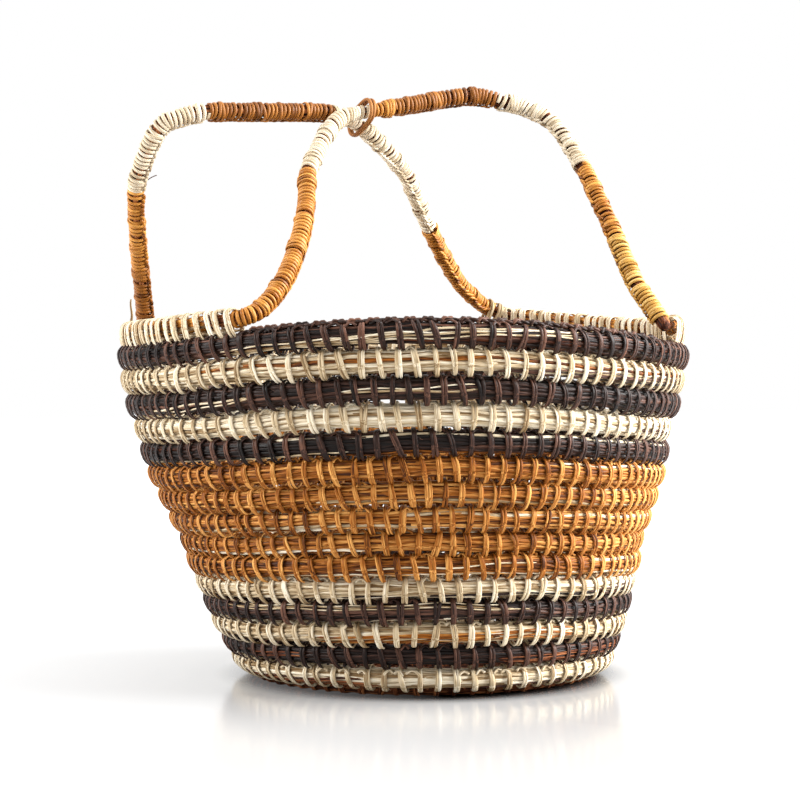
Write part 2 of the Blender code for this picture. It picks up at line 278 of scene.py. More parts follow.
class Piece:
    """Collects swept strands and turns them into one mesh object."""

    def __init__(self, name, materials, seed):
        self.name = name
        self.materials = materials
        self.rng = np.random.default_rng(seed)
        self.count = 0
        # How much paler the strands are painted on the basket's lit side: painted light
        self.fade = 0.0
        self.points, self.fibre, self.tone = [], [], []
        self.corners, self.sizes, self.colours = [], [], []

    def sweep(self, path, wide, thick, half_width, half_thick, sides=6, colour=0,
              closed=False, tone=None):
        """Tube with an oval section; wide and thick are its directions at each point."""
        number = len(path)
        half_width = np.broadcast_to(half_width, number)[:, None, None]
        half_thick = np.broadcast_to(half_thick, number)[:, None, None]
        turn = TAU * np.arange(sides) / sides
        cosine, sine = np.cos(turn)[None, :, None], np.sin(turn)[None, :, None]
        ring = (path[:, None, :] + half_width * cosine * wide[:, None, :]
                + half_thick * sine * thick[:, None, :])
        steps = np.linalg.norm(np.diff(path, axis=0), axis=1)
        distance = np.concatenate([[0.0], np.cumsum(steps)])[:, None, None]
        fibre = np.concatenate([half_width * cosine, half_thick * sine,
                                np.broadcast_to(distance, (number, sides, 1))], axis=2)
        self.points.append(ring.reshape(-1, 3))
        self.fibre.append((fibre + self.rng.random(3)).reshape(-1, 3))
        if tone is None:
            tone = self.rng.normal(MIDDLE_TONE, TONE_SPREAD)
        # Painted light: paler towards the side of the basket that the brightest softbox lights
        tone = tone + self.fade * smooth((path @ LIT_SIDE - LIT_SIDE_START) / LIT_SIDE_SPAN)
        tone = np.broadcast_to(np.clip(tone, 0.0, 1.0), number)
        self.tone.append(np.repeat(tone, sides))
        index = self.count + np.arange(number * sides).reshape(number, sides)
        here, after = (index, np.roll(index, -1, 0)) if closed else (index[:-1], index[1:])
        quads = np.stack([here, np.roll(here, -1, 1), np.roll(after, -1, 1), after], axis=-1)
        faces = quads.size // 4
        self.corners.append(quads.ravel())
        self.sizes.append(np.full(faces, 4))
        if not closed:
            self.corners.append(np.concatenate([index[0][::-1], index[-1]]))
            self.sizes.append(np.full(2, sides))
            faces += 2
        self.colours.append(np.full(faces, colour))
        self.count += number * sides

    def strand(self, path, normal, half_width, half_thick, **options):
        """Sweep a flat strand whose thin direction is close to the normal."""
        if options.get("closed"):
            tangent = unit(np.roll(path, -1, 0) - np.roll(path, 1, 0))
        else:
            tangent = unit(np.gradient(path, axis=0))
        normal = np.broadcast_to(normal, path.shape)
        thick = unit(normal - np.sum(normal * tangent, axis=1, keepdims=True) * tangent)
        self.sweep(path, np.cross(thick, tangent), thick, half_width, half_thick, **options)

    def build(self, nodes=(), body="basket"):
        """Make the object and tell the frame its body and the nodes it replaces."""
        mesh = bpy.data.meshes.new(self.name)
        points = np.concatenate(self.points)
        corners = np.concatenate(self.corners)
        sizes = np.concatenate(self.sizes)
        mesh.vertices.add(len(points))
        mesh.vertices.foreach_set("co", points.astype(np.float32).ravel())
        mesh.loops.add(len(corners))
        mesh.loops.foreach_set("vertex_index", corners.astype(np.int32))
        mesh.polygons.add(len(sizes))
        starts = np.concatenate([[0], np.cumsum(sizes)[:-1]])
        mesh.polygons.foreach_set("loop_start", starts.astype(np.int32))
        mesh.update(calc_edges=True)
        mesh.polygons.foreach_set("material_index", np.concatenate(self.colours).astype(np.int32))
        mesh.shade_smooth()
        for name, kind, field, rows in (("fibre", "FLOAT_VECTOR", "vector", self.fibre),
                                        ("tone", "FLOAT", "value", self.tone)):
            attribute = mesh.attributes.new(name, kind, "POINT")
            attribute.data.foreach_set(field, np.concatenate(rows).astype(np.float32).ravel())
        for material in self.materials:
            mesh.materials.append(material)
        piece = add_object(self.name, mesh)
        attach(piece, body)
        if nodes:
            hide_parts(*nodes)


# ---- materials

GRAIN_LENGTH = 16 * MM
BLOTCH_WIDTH = 9 * MM
BLOTCH_LENGTH = 24 * MM
NOISE_ROUGHNESS = 0.6
RELIEF_DEPTH = 0.4 * MM
# How much each pattern moves the colour along its ramp, and what centres their sum
GRAIN_SHARE = 1.5
BLOTCH_SHARE = 0.8
TONE_SHARE = 0.9
PATTERN_CENTRE = 1.15
PATTERN_LIFT = 0.05
SHADOW_STOP, MIDDLE_STOP, LIGHT_STOP = 0.2, 0.5, 0.85
SMOOTHER, ROUGHER = 0.12, 0.14


def srgb(red, green, blue):
    """Linear colour from 0-255 display values."""
    linear = [c / 12.92 if c <= 0.04045 else ((c + 0.055) / 1.055) ** 2.4
              for c in (red / 255, green / 255, blue / 255)]
    return (*linear, 1.0)


def add_node(tree, kind, values=None):
    """A new shader node, with some of its inputs set by name or number."""
    node = tree.nodes.new(f"ShaderNode{kind}")
    for name, value in (values or {}).items():
        node.inputs[name].default_value = value
    return node


def add_math(tree, operation, first, second):
    """Output of a Math node whose inputs are numbers or other nodes' outputs."""
    node = add_node(tree, "Math")
    node.operation = operation
    for socket, value in zip(node.inputs, (first, second)):
        if isinstance(value, float):
            socket.default_value = value
        else:
            tree.links.new(value, socket)
    return node.outputs[0]


def fibre_material(name, shadow, middle, light, roughness=0.6, grain=0.55 * MM, bump=0.5,
                   gloss=0.12, contrast=1.0):
    """Dry plant fibre: fine streaks along each strand, blotches and strand-to-strand tones."""
    material = bpy.data.materials.new(f"{name}_fibre")
    material.use_nodes = True
    tree = material.node_tree
    link = tree.links.new
    shader = tree.nodes["Principled BSDF"]
    fibre = add_node(tree, "Attribute")
    fibre.attribute_name = "fibre"
    tone = add_node(tree, "Attribute")
    tone.attribute_name = "tone"

    def streaks(across, along, detail):
        stretch = add_node(tree, "VectorMath", {1: (1 / across, 1 / across, 1 / along)})
        stretch.operation = "MULTIPLY"
        link(fibre.outputs["Vector"], stretch.inputs[0])
        noise = add_node(tree, "TexNoise",
                         {"Scale": 1.0, "Detail": detail, "Roughness": NOISE_ROUGHNESS})
        link(stretch.outputs["Vector"], noise.inputs["Vector"])
        return noise.outputs["Fac"]

    fine = streaks(grain, GRAIN_LENGTH, 4.0)
    blotch = streaks(BLOTCH_WIDTH, BLOTCH_LENGTH, 2.0)
    level = add_math(tree, "ADD", add_math(tree, "MULTIPLY", fine, GRAIN_SHARE * contrast),
                     add_math(tree, "MULTIPLY", blotch, BLOTCH_SHARE * contrast))
    level = add_math(tree, "ADD", level,
                     add_math(tree, "MULTIPLY", tone.outputs["Fac"], TONE_SHARE))
    level = add_math(tree, "SUBTRACT", level, PATTERN_CENTRE * contrast - PATTERN_LIFT)
    ramp = add_node(tree, "ValToRGB")
    stops = ramp.color_ramp.elements
    stops[0].position, stops[0].color = SHADOW_STOP, srgb(*shadow)
    stops[1].position, stops[1].color = LIGHT_STOP, srgb(*light)
    stops.new(MIDDLE_STOP).color = srgb(*middle)
    link(level, ramp.inputs["Fac"])
    link(ramp.outputs["Color"], shader.inputs["Base Color"])
    matt = add_node(tree, "MapRange",
                    {"To Min": roughness - SMOOTHER, "To Max": roughness + ROUGHER})
    link(fine, matt.inputs["Value"])
    link(matt.outputs["Result"], shader.inputs["Roughness"])
    relief = add_node(tree, "Bump", {"Strength": bump, "Distance": RELIEF_DEPTH})
    link(fine, relief.inputs["Height"])
    link(relief.outputs["Normal"], shader.inputs["Normal"])
    shader.inputs["Specular IOR Level"].default_value = gloss
    return material


# Each fibre's colour in shadow, middle and light, as 0-255 display values
CREAM = fibre_material("cream", (124, 96, 62), (200, 178, 142), (244, 234, 212))
BLACK = fibre_material("black", (12, 6, 4), (48, 29, 22), (112, 76, 60), roughness=0.4,
                       gloss=0.16)
ORANGE = fibre_material("orange", (60, 26, 4), (154, 87, 22), (230, 170, 94), roughness=0.48,
                        gloss=0.15)
RUST = fibre_material("rust", (36, 16, 9), (98, 50, 27), (170, 108, 66))
PALE = fibre_material("pale", (110, 86, 58), (200, 180, 148), (240, 230, 210), roughness=0.5,
                      contrast=0.85)
OCHRE = fibre_material("ochre", (70, 32, 5), (162, 98, 30), (220, 158, 76), roughness=0.38,
                       bump=0.3, gloss=0.24, contrast=0.7)
GOLD = fibre_material("gold", (104, 62, 16), (192, 140, 60), (236, 196, 118), roughness=0.38,
                      bump=0.3, gloss=0.24, contrast=0.65)
UMBER = fibre_material("umber", (40, 18, 3), (124, 72, 23), (172, 112, 48), roughness=0.38,
                       bump=0.3, gloss=0.22, contrast=0.7)
CANE = fibre_material("cane", (70, 38, 18), (146, 92, 46), (200, 148, 92), roughness=0.45,
                      grain=0.4 * MM, bump=0.35, contrast=0.8)
GRASS = (CREAM, BLACK, ORANGE, RUST)
IN_CREAM, IN_BLACK, IN_ORANGE, IN_RUST = range(4)


# ---- coiled grass

SAMPLE = 3.1 * MM
STITCH_PITCH = 11.2 * MM
ORANGE_PITCH = 10.5 * MM
BASE_STITCH_PITCH = 11.5 * MM
START_STITCH_PITCH = 9 * MM
OVERLAP = 7 * MM
END_THINNING = 0.25
SMALLEST_TURN = 9 * MM
COURSE_COLOURS = ((IN_CREAM, IN_BLACK, IN_CREAM, IN_BLACK, IN_CREAM) + (IN_ORANGE,) * 5
                  + (IN_BLACK, IN_CREAM, IN_BLACK, IN_CREAM, IN_BLACK))

# Unevenness of a turn, which dies away towards its ends
EVEN_RUN = 30 * MM
SIZE_SWING = 0.03
SIDE_SWAY = 0.45 * MM
TRACK_SEED = 500
COURSE_SEED = 100


def coil_track(level):
    """Track of one turn, with its ends tucked into the turns before and after it."""
    radius = max(abs(level_line(level, np.zeros(1))[0, 0]), SMALLEST_TURN)
    start = STEP_END - TAU
    end = STEP_END + OVERLAP / radius
    angles = np.linspace(start, end, int((end - start) * radius / SAMPLE) + 2)
    if level == TOP_COURSE:
        points, size = rim_tail(angles)
        angles = angles[:len(points)]
    else:
        points = turn_line(level, angles)
        tuck = smooth((angles - STEP_END) * radius / OVERLAP)
        size = bundle_radius(level) * (1 - END_THINNING * tuck)
    before = turn_line(level - 1, angles)
    after = points if level == TOP_COURSE else turn_line(level + 1, angles)
    rng = np.random.default_rng(TRACK_SEED + level)
    spots = angles * radius
    uneven = (smooth((angles - start) * radius / EVEN_RUN)
              * smooth((STEP_END - angles) * radius / EVEN_RUN))
    size = size * (1 + SIZE_SWING * wave(spots, rng, 120 * MM) * uneven)
    sway = (SIDE_SWAY * wave(spots, rng, 150 * MM) * uneven)[:, None]
    return Track(points + sway * unit(after - before), after - before, size)


# A stem: its wander along the bundle's skin, its section and its pointed ends
STEM_TWIST = 0.16
STEM_SWAY = 0.3 * MM
STEM_FLATNESS = 0.85
TIP_START = 1.5 * MM
TIP_RUN = 5 * MM
PINCH_DEPTH = 0.35 * MM


def stem(piece, track, first, last, start_angle, end_angle, half_width, sink, colour, tone=None,
         pinch=None):
    """One stem on the bundle's skin, from one distance to another."""
    number = max(4, int((last - first) / SAMPLE))
    places = np.linspace(first, last, number)
    angles = start_angle + (end_angle - start_angle) * (places - first) / (last - first)
    angles = angles + STEM_TWIST * wave(places, piece.rng, 90 * MM)
    half_thick = half_width * STEM_FLATNESS
    lift = -half_thick - sink + STEM_SWAY * wave(places, piece.rng, 60 * MM)
    if pinch:
        lift = lift - PINCH_DEPTH * (0.5 + 0.5 * np.cos(TAU * places / pinch))
    centre, _, back, face, radius = track.at(places)
    out = outward(angles, face, back)
    across = outward(angles, back, -face)
    taper = np.minimum(1, np.minimum(places - first + TIP_START, last - places + TIP_START)
                       / TIP_RUN)
    share = np.minimum(radius[:, 0] / track.radius.max(), 1.0)
    path = centre + (radius + lift[:, None] * share[:, None]) * out
    piece.sweep(path, across, out, half_width * share * taper, half_thick * share * taper,
                5, colour, tone=tone)


# Middle tones of the stems and stitches of each grass, and how much the stems of some turns
# are darker or lighter all round and each turn's lit side is painted paler, as painted light
CORE_TONES = (0.55, 0.38, 0.47, 0.5)
STITCH_TONES = (0.53, 0.47, 0.52, 0.55)
LEVEL_SHADES = {13: -0.12, 11: 0.1, 9: -0.08, 2: -0.12}
LIT_SIDE_PALING = {2: 0.12, 4: 0.12, 5: 0.2, 6: 0.2, 7: 0.22, 8: 0.2, 9: 0.2, 11: 0.14}
# How far before its end each turn takes on the colour of the next one
SWITCH_LEADS = [lead * MM for lead in (12, 58, 31, 84, 5, 46, 70, 22)]
SWITCH_SPREAD = 20
SHORTEST_PART = 12 * MM
PART_OVERLAP = 3 * MM


def halves(place, last, cut, shade, ahead):
    """The part of a stem before the place where the colour changes, and the part after it."""
    if cut > last - SHORTEST_PART:
        return [(place, last, shade)]
    if cut < place + SHORTEST_PART:
        return [(place, last, ahead)]
    return [(place, cut + PART_OVERLAP, shade), (cut - PART_OVERLAP, last, ahead)]


CORE_SIZE = 0.83
# Painted shade: the core's tone is dark so that the gaps between stems and wraps look shaded
CORE_GAP_SHADE = 0.25
STEM_WIDTHS = (0.85, 1.4)
STEM_RUNS = (180, 420)
STEM_SINKS = (0.0, 0.6)
STEM_JITTER = 0.3
STEM_DRIFT = 0.3
STEM_OVERLAP = 8 * MM
SHORTEST_STEM = 60 * MM
ODD_STEMS = 0.05


def bundle(piece, track, stems, colour, pinch=None, others=(), shift=0.0, switch=math.inf,
           ahead=0):
    """Core and a skin of overlapping stems, some of them in another colour."""
    core = track.radius * CORE_SIZE
    # The core shows only through the gaps and is painted dark there as painted shade
    piece.sweep(track.points, track.back, track.face, core, core, 10, colour, tone=CORE_GAP_SHADE)
    size = track.radius.max()
    rng = piece.rng
    for number in range(stems):
        angle = TAU * (number + rng.uniform(-STEM_JITTER, STEM_JITTER)) / stems
        half_width = math.pi * size / stems * rng.uniform(*STEM_WIDTHS)
        place = 0.0
        while place < track.length:
            last = min(track.length, place + rng.uniform(*STEM_RUNS) * MM)
            if track.length - last < SHORTEST_STEM:
                last = track.length
            shade = colour
            if others and rng.random() < ODD_STEMS:
                shade = others[rng.integers(len(others))]
            drift = rng.uniform(-STEM_DRIFT, STEM_DRIFT)
            sink = rng.uniform(*STEM_SINKS) * MM
            tone = rng.normal(shift, TONE_SPREAD)
            cut = switch + rng.uniform(-SWITCH_SPREAD, SWITCH_SPREAD) * MM
            for begin, end, dye in halves(place, last, cut, shade, ahead):
                stem(piece, track, begin, end, angle - drift, angle + drift, half_width, sink,
                     dye, CORE_TONES[dye] + tone, pinch)
            place = last - STEM_OVERLAP if last < track.length else last


# A stitch's section is a rounded square that is flatter where it bites into the seams
LOOP_SQUARENESS = 0.85
SEAM_WIDTH = 0.78
FACE_WIDENING = 0.34


def loop(piece, track, place, slant, half_width, half_thick, top, bottom, colour, tone,
         lift=0.3 * MM, points=20):
    """One closed stitch round the bundle that bites into the turn before it."""
    centre, along, back, face, radius = track.at(place)
    turn = TAU * np.arange(points)[:, None] / points
    cosine, sine = np.cos(turn), np.sin(turn)
    reach = np.where(sine > 0, radius + top, radius + bottom)
    path = (centre + (radius + lift) * np.sign(cosine) * np.abs(cosine) ** LOOP_SQUARENESS * face
            + reach * np.sign(sine) * np.abs(sine) ** LOOP_SQUARENESS * back
            + slant * sine * along)
    path[:, 2] = np.maximum(path[:, 2], CAD_LOW.z + half_thick + CLEARANCE)
    flare = half_width * (SEAM_WIDTH + FACE_WIDENING * np.abs(cosine[:, 0]))
    piece.strand(path, cosine * face + sine * back, flare, half_thick, colour=colour,
                 closed=True, tone=tone)


HOOK_REACHES = (5, 9)
HOOK_BACKWARDS = 0.35
HOOK_ANGLES = (48, 58)
HOOK_BULGE = 26
HOOK_LIFT = 1.0 * MM
HOOK_SECTION = (1.1 * MM, 0.6 * MM)


def hook(piece, track, place, colour, tone):
    """Short end of a stitch that runs along the seam and goes in again."""
    rng = piece.rng
    share = np.linspace(0, 1, 8)
    reach = (rng.uniform(*HOOK_REACHES) * MM
             * rng.choice((-1, 1), p=(HOOK_BACKWARDS, 1 - HOOK_BACKWARDS)))
    angles = (rng.uniform(*HOOK_ANGLES) + HOOK_BULGE * np.sin(math.pi * share * 0.85)) * DEGREE
    lift = HOOK_LIFT * np.sin(math.pi * np.minimum(share + 0.15, 1)) + 0.2 * MM
    path = track.around(place + reach * share, angles, lift)
    _, _, back, face, _ = track.at(place)
    path[:, 2] = np.maximum(path[:, 2], CAD_LOW.z + 1 * MM)
    piece.strand(path, outward(angles, face, back), *HOOK_SECTION, sides=5, colour=colour,
                 tone=tone)


STITCH_THICK = 0.5 * MM
SINGLE_WIDTHS = (1.5, 2.1)
DOUBLE_WIDTHS = (0.85, 1.15)
DOUBLED = 0.75
HOOKED = 0.7
BITE = 2.6 * MM


def stitches(piece, track, pitch, colour, switch=math.inf, ahead=0):
    """Stitches at an uneven pitch, often of two strands side by side, with seam hooks."""
    rng = piece.rng
    place = pitch * 0.5
    while place < track.length - 2 * MM:
        spot = place + rng.normal(0, 0.5 * MM)
        slant = -rng.normal(0.9, 0.9) * MM
        if spot > switch:
            colour = ahead
        tone = rng.normal(STITCH_TONES[colour], 0.09)
        top = rng.uniform(0.2, 0.7) * MM
        bottom = BITE + rng.uniform(-0.6, 0.8) * MM
        if rng.random() < DOUBLED:
            half = rng.uniform(*DOUBLE_WIDTHS) * MM
            for side in (-1, 1):
                lean = slant + side * rng.normal(0, 0.45) * MM
                loop(piece, track, spot + side * half * 0.95, lean, half, STITCH_THICK, top,
                     bottom, colour, tone + rng.normal(0, 0.1), lift=rng.uniform(0.2, 0.5) * MM)
        else:
            loop(piece, track, spot, slant, rng.uniform(*SINGLE_WIDTHS) * MM, STITCH_THICK, top,
                 bottom, colour, tone)
        if rng.random() < HOOKED:
            hook(piece, track, spot, colour, tone)
        place += pitch * rng.uniform(0.93, 1.07)


# Never quite upright, so that a strand's normal is not along an upright strand
NEARLY_UP = UP + 0.01


def hairs(piece, track, number, colour):
    """Fine broken fibres that stand off the bundle."""
    rng = piece.rng
    share = np.linspace(0, 1, 6)
    thinning = 1.1 - share
    for _ in range(number):
        place = rng.uniform(0.02, 0.98) * track.length
        angle = rng.uniform(-60, 60) * DEGREE
        places = place + rng.uniform(-7, 7) * MM * share
        lift = rng.uniform(0.8, 2.6) * MM * share ** 1.5
        path = track.around(places, angle + rng.uniform(-0.3, 0.3) * share, lift)
        piece.strand(path, NEARLY_UP, 0.2 * MM * thinning, 0.16 * MM * thinning, sides=4,
                     colour=colour)


# Streaks of another colour: level, colour, first and last basket angle, first and last
# angle on the bundle (0 faces out, 90 the rim), number of stems
STREAKS = (
    (14, IN_CREAM, -134, -98, -35, -12, 4), (14, IN_CREAM, -108, -50, -20, 50, 4),
    (13, IN_BLACK, -93, -36, -36, -18, 4), (13, IN_BLACK, 20, 60, -20, 10, 3),
    (11, IN_BLACK, -54, -34, -8, -24, 2), (12, IN_CREAM, -172, -142, -25, 5, 2),
    (12, IN_CREAM, -122, -97, 5, 25, 2), (10, IN_ORANGE, -124, -80, -62, -55, 3),
    (10, IN_CREAM, -150, -125, -45, -20, 1), (5, IN_CREAM, -125, -82, 5, 25, 1),
    (4, IN_BLACK, -60, -38, -30, 10, 3), (3, IN_CREAM, -168, -86, 52, 40, 3),
    (2, IN_ORANGE, -137, -72, -14, 10, 5), (1, IN_RUST, -92, -34, -25, 15, 5),
    (1, IN_RUST, -172, -150, 0, 20, 3), (0, IN_RUST, -175, -125, -30, 0, 5),
    (0, IN_BLACK, -100, -60, -20, -30, 2),
)
STREAK_SPACING = 12  # degrees
STREAK_STAGGER = 12
STREAK_WIDTHS = (0.45, 0.8)
STREAK_RISE = 0.3 * MM
TWO_TONE = {IN_CREAM: (IN_BLACK, IN_ORANGE), IN_BLACK: (IN_CREAM, IN_RUST),
            IN_ORANGE: (IN_CREAM,), IN_RUST: (IN_BLACK, IN_ORANGE)}
BASE_STEMS = 16
WALL_STEMS = 22
START_STEMS = 12
LOOSE_HAIRS = 10


def add_streaks(piece, track, level, pitch):
    """Stems of another colour that lie on the turn where the table puts them."""
    rng = piece.rng
    radius = track.length / TAU
    for streak_level, shade, first, last, start, end, number in STREAKS:
        if streak_level != level:
            continue
        begin = (first * DEGREE - STEP_END + TAU) % TAU * radius
        finish = begin + (last - first) * DEGREE * radius
        for strand in range(number):
            offset = (strand - number / 2) * STREAK_SPACING
            shift = rng.uniform(-STREAK_STAGGER, STREAK_STAGGER) * MM
            stem(piece, track, max(begin + shift, 0), min(finish + shift, track.length),
                 (start + offset) * DEGREE, (end + offset) * DEGREE,
                 rng.uniform(*STREAK_WIDTHS) * MM, -STREAK_RISE, shade,
                 tone=rng.normal(MIDDLE_TONE, 0.15), pinch=pitch)


def make_course(level):
    """One turn of the wall, or of the base where the level is below 0."""
    if level < 0:
        number, colour = level + BASE_COILS + 1, IN_RUST
        name, node = f"base_turn_{number}", f"base_coil_{number}"
        pitch, stems = BASE_STITCH_PITCH, BASE_STEMS
    else:
        number, colour = level + 1, COURSE_COLOURS[level]
        name, node = f"wall_turn_{number:02d}", f"wall_coil_{number:02d}"
        pitch, stems = (ORANGE_PITCH if colour == IN_ORANGE else STITCH_PITCH), WALL_STEMS
    piece = Piece(name, GRASS, seed=COURSE_SEED + level)
    track = coil_track(level)
    # Painted light: how much paler this turn is painted on its lit side
    piece.fade = LIT_SIDE_PALING.get(level, 0.0)
    ahead = COURSE_COLOURS[level + 1] if -1 <= level < TOP_COURSE else colour
    switch = track.length - (SWITCH_LEADS[level % len(SWITCH_LEADS)] if ahead != colour else 0)
    bundle(piece, track, stems, colour, pitch, TWO_TONE[colour], LEVEL_SHADES.get(level, 0.0),
           switch, ahead)
    add_streaks(piece, track, level, pitch)
    stitches(piece, track, pitch, colour, switch, ahead)
    if level >= 0:
        hairs(piece, track, LOOSE_HAIRS, colour)
    piece.build([node])


KNOT_RADIUS = 4.5 * MM
KNOT_TURNS = 3
KNOT_FOOT = 3
KNOT_HEIGHT = 5
KNOT_STRAND = 1.6 * MM


def make_base_start():
    """The coil's start: two small turns and the knot in the middle."""
    piece = Piece("base_turn_start", GRASS, seed=60)
    for level in (-BASE_COILS - 2, -BASE_COILS - 1):
        track = coil_track(level)
        bundle(piece, track, START_STEMS, IN_RUST, None, (IN_BLACK,))
        stitches(piece, track, START_STITCH_PITCH, IN_RUST)
    share = np.linspace(0, 1, 40)
    turn = KNOT_TURNS * TAU * share
    spiral = np.stack([KNOT_RADIUS * share * np.cos(turn), KNOT_RADIUS * share * np.sin(turn),
                       (KNOT_FOOT + KNOT_HEIGHT * (1 - share)) * MM], axis=1) + BASE_SHIFT
    piece.strand(spiral, NEARLY_UP, KNOT_STRAND, KNOT_STRAND, colour=IN_RUST)
    piece.build(["base_start_disc", "base_coil_start"])


# The two strands of the rim's chain, and the links laid over them
CHAIN_SINK = 0.5 * MM
CHAIN_SWING = 1.3 * MM
CHAIN_RISE = 0.5 * MM
CHAIN_SWAY = 0.3 * MM
CHAIN_SECTION = (1.9 * MM, 1.15 * MM)
LINK_LENGTH = 10
LINK_HEIGHT = 2.3 * MM
LINK_DIP = 1.32 * MM
LINK_SLANT = 1.6 * MM
LINK_SECTION = (1.8 * MM, 0.95 * MM)


def make_rim_strand(name, span, node, seed):
    """Chain of dark strands that links the tops of the rim's stitches."""
    piece = Piece(name, GRASS, seed)
    rng = piece.rng
    count = int((span[1] - span[0]) * RIM_ROPE_CENTRE / (1.4 * MM))
    angles = np.linspace(*span, count)
    rise = RIM_BUNDLE_RADIUS + RIM_STRAND_RADIUS - CHAIN_SINK
    points = rim_line(angles, COURSE_RADII[TOP_COURSE] - RIM_BUNDLE_RADIUS, rise)
    track = Track(points, UP, 0.0)
    for phase in (0.0, 0.5):
        twist = TAU * (track.distance / (STITCH_PITCH * 0.98) + phase)
        path = (points + CHAIN_SWING * np.sin(twist)[:, None] * track.face
                + CHAIN_RISE * np.cos(twist)[:, None] * track.back
                + CHAIN_SWAY * wave(track.distance, rng, 30 * MM)[:, None] * track.back)
        piece.strand(path, UP, *CHAIN_SECTION, colour=IN_BLACK,
                     tone=0.5 + 0.15 * wave(track.distance, rng, 25 * MM))
    share = np.linspace(0, 1, 9)
    place = 4 * MM
    while place < track.length:
        centre, along, back, face, _ = track.at(place)
        path = (centre + (share - 0.5)[:, None] * LINK_LENGTH * MM * along
                + np.sin(math.pi * share)[:, None] * LINK_HEIGHT * back
                - LINK_DIP * np.cos(TAU * share)[:, None] ** 2 * back
                + LINK_SLANT * np.cos(math.pi * share)[:, None] * face)
        piece.strand(path, back + 0.2 * face, *LINK_SECTION, colour=IN_BLACK,
                     tone=rng.normal(0.6, 0.15))
        place += STITCH_PITCH * rng.uniform(0.9, 1.1)
    hairs(piece, Track(points, UP, 1.0 * MM), LOOSE_HAIRS, IN_BLACK)
    piece.build([node])


# ---- handles and lashings

WRAP_PITCH = 3.25 * MM
WRAP_POINTS = 14
WRAP_WIDTH = 1.32
WRAP_THICK = 0.95 * MM
WRAP_SINK = 0.75 * MM
WRAP_TONE = 0.62
HANDLE_STEPS = 12
CORE_SINK = 1.4 * MM
KEEPER_REACH = 17 * MM
KEEPER_SQUEEZE = 1.1 * MM
SPARE_SPACING = 2.2 * MM
SPARE_SECTION = (1.1 * MM, 0.45 * MM)
RIDGE_LENGTH = 4.6 * MM
RIDGE_SECTION = (1.15 * MM, 0.75 * MM)


def clear_of_keeper(track, place):
    """True where the rope lies outside the keeper's travel."""
    return np.linalg.norm(track.at(place)[0] - KEEPER_MIDDLE) > KEEPER_REACH


def wind(piece, track, first, last):
    """A flat strand wound round the rope in one long helix."""
    rng = piece.rng
    places = np.arange(first, last, WRAP_PITCH / WRAP_POINTS)
    turns = (places + 0.45 * WRAP_PITCH * wave(places, rng, 30 * MM)) / WRAP_PITCH
    angles = TAU * turns
    lean = places + 0.6 * MM * np.sin(angles + rng.uniform(0, TAU))
    lift = -WRAP_SINK + 0.2 * MM * wave(places, rng, 6 * MM)
    path = track.around(np.clip(lean, 0, track.length), angles, lift)
    _, _, back, face, _ = track.at(places)
    width = (WRAP_WIDTH + 0.1 * wave(places, rng, 9 * MM)) * MM
    shades = rng.normal(WRAP_TONE, 0.055, int(np.ptp(turns)) + 2)
    tone = shades[(turns - turns.min()).astype(int)]
    piece.strand(path, outward(angles, face, back), width, WRAP_THICK, tone=tone)


def add_spare_turns(piece, track, first, last):
    """Groups of one to three single turns that lie over the winding."""
    rng = piece.rng
    place = first + rng.uniform(2, 20) * MM
    while place < last - 3 * MM:
        for strand in range(rng.integers(1, 4) if clear_of_keeper(track, place) else 0):
            loop(piece, track, min(place + SPARE_SPACING * strand, last),
                 rng.normal(0, 1.2) * MM, *SPARE_SECTION, 0.3 * MM, 0.2 * MM, 0,
                 rng.normal(WRAP_TONE, 0.1), lift=0.2 * MM)
        place += rng.uniform(14, 40) * MM


def add_ridge(piece, track, first, last):
    """Low ridge of knots on the inner side of the rope, one for each turn."""
    rng = piece.rng
    share = np.linspace(0, 1, 7)
    place = first + WRAP_PITCH
    while place < last - WRAP_PITCH:
        middle = 90 + 30 * math.sin(place / (60 * MM)) + rng.normal(0, 4)
        angles = (middle + 16 * (share - 0.5)) * DEGREE
        lift = 0.25 * MM + rng.uniform(0.35, 0.8) * MM * np.sin(math.pi * share)
        spots = place + RIDGE_LENGTH * (share - 0.5)
        knot = track.around(spots, angles, lift)
        normal = np.mean(track.around(spots, angles, 0.01) - track.at(spots)[0], axis=0)
        if clear_of_keeper(track, place):
            piece.strand(knot, normal, *RIDGE_SECTION, sides=5, tone=rng.normal(0.55, 0.15))
        place += WRAP_PITCH * rng.uniform(0.9, 1.1)


# Colours of each handle: first and last point, counted from the first in its list above,
# and the colour's place in WRAP_COLOURS
FRONT_COLOURS = ((-0.2, 5.0, 1), (5.0, 9.2, 0), (9.35, 9.95, 1), (9.95, 13.0, 2),
                 (13.0, 17.0, 0), (17.0, 18.3, 1), (18.3, 20.7, 3))
BACK_COLOURS = ((0.2, 2.1, 2), (2.1, 4.0, 1), (4.0, 9.0, 0), (9.0, 11.9, 2),
                (11.9, 17.7, 0), (17.7, 21.6, 1))
WRAP_COLOURS = (("cream", PALE, "cream_grass"), ("ochre", OCHRE, "ochre_rope"),
                ("umber", UMBER, "ochre_rope"), ("gold", GOLD, "ochre_rope"))


def foot_run(edge, step, rise):
    """Two points on a rim rope's line, one at its edge and one a step further on."""
    return rim_line(np.array([edge, edge + step]), RIM_ROPE_CENTRE, rise)


